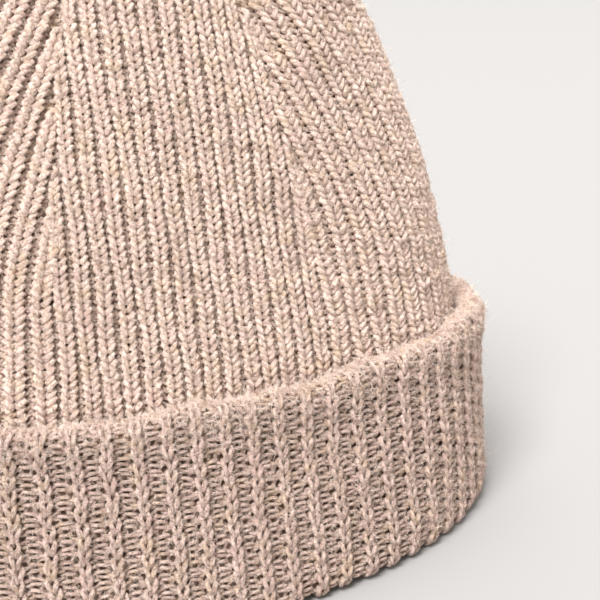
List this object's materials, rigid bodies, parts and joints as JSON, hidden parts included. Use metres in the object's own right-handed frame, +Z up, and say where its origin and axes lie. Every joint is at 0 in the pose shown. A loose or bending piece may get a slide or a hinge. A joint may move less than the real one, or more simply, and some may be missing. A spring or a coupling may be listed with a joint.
{
  "type": "cuffed knit beanie",
  "caption": "Rib-knit tube hat with a darted, gathered crown and a turned-up cuff with a rolled rim, standing open side down.",
  "frame": {"origin": "centre of the base, on the surface that the folded edge stands on", "axes": "+Z up through the crown, -Y to the front of the hat, +X to the wearer's left when worn facing -Y"},
  "size_m": [0.194, 0.12, 0.2],
  "materials": {
    "body_knit": "oatmeal marl wool-blend rib knit, brushed, soft fuzz",
    "cuff_knit": "same knit seen from its other face, with a bright rolled rim",
    "seam_yarn": "linked yarn ridge",
    "gather_yarn": "plied wool yarn",
    "label_satin": "blank woven satin tape",
    "label_thread": "fine polyester sewing thread"
  },
  "bodies": {
    "cuff": {"turn_up_cuff": "cuff_knit", "back_seam_cuff": "seam_yarn"},
    "crown": {"knit_body": "body_knit", "crown_dart_front_right": "seam_yarn", "crown_dart_front_left": "seam_yarn", "crown_dart_back_left": "seam_yarn", "crown_dart_back_right": "seam_yarn", "back_seam_body": "seam_yarn", "crown_gather_thread": "gather_yarn", "crown_tie_knot": "gather_yarn", "care_label_stitches": "label_thread"},
    "label": {"care_label": "label_satin"}
  },
  "joints": [
    {"name": "crown_slide", "type": "slide", "parent": "cuff", "child": "crown", "axis": [0, 0, 1], "range_m": [0, 0.05]},
    {"name": "label_flip", "type": "hinge", "parent": "crown", "child": "label", "pos_m": [0, 0.0402, 0.053], "axis": [-1, 0, 0], "range_deg": [0, 120]}
  ]
}
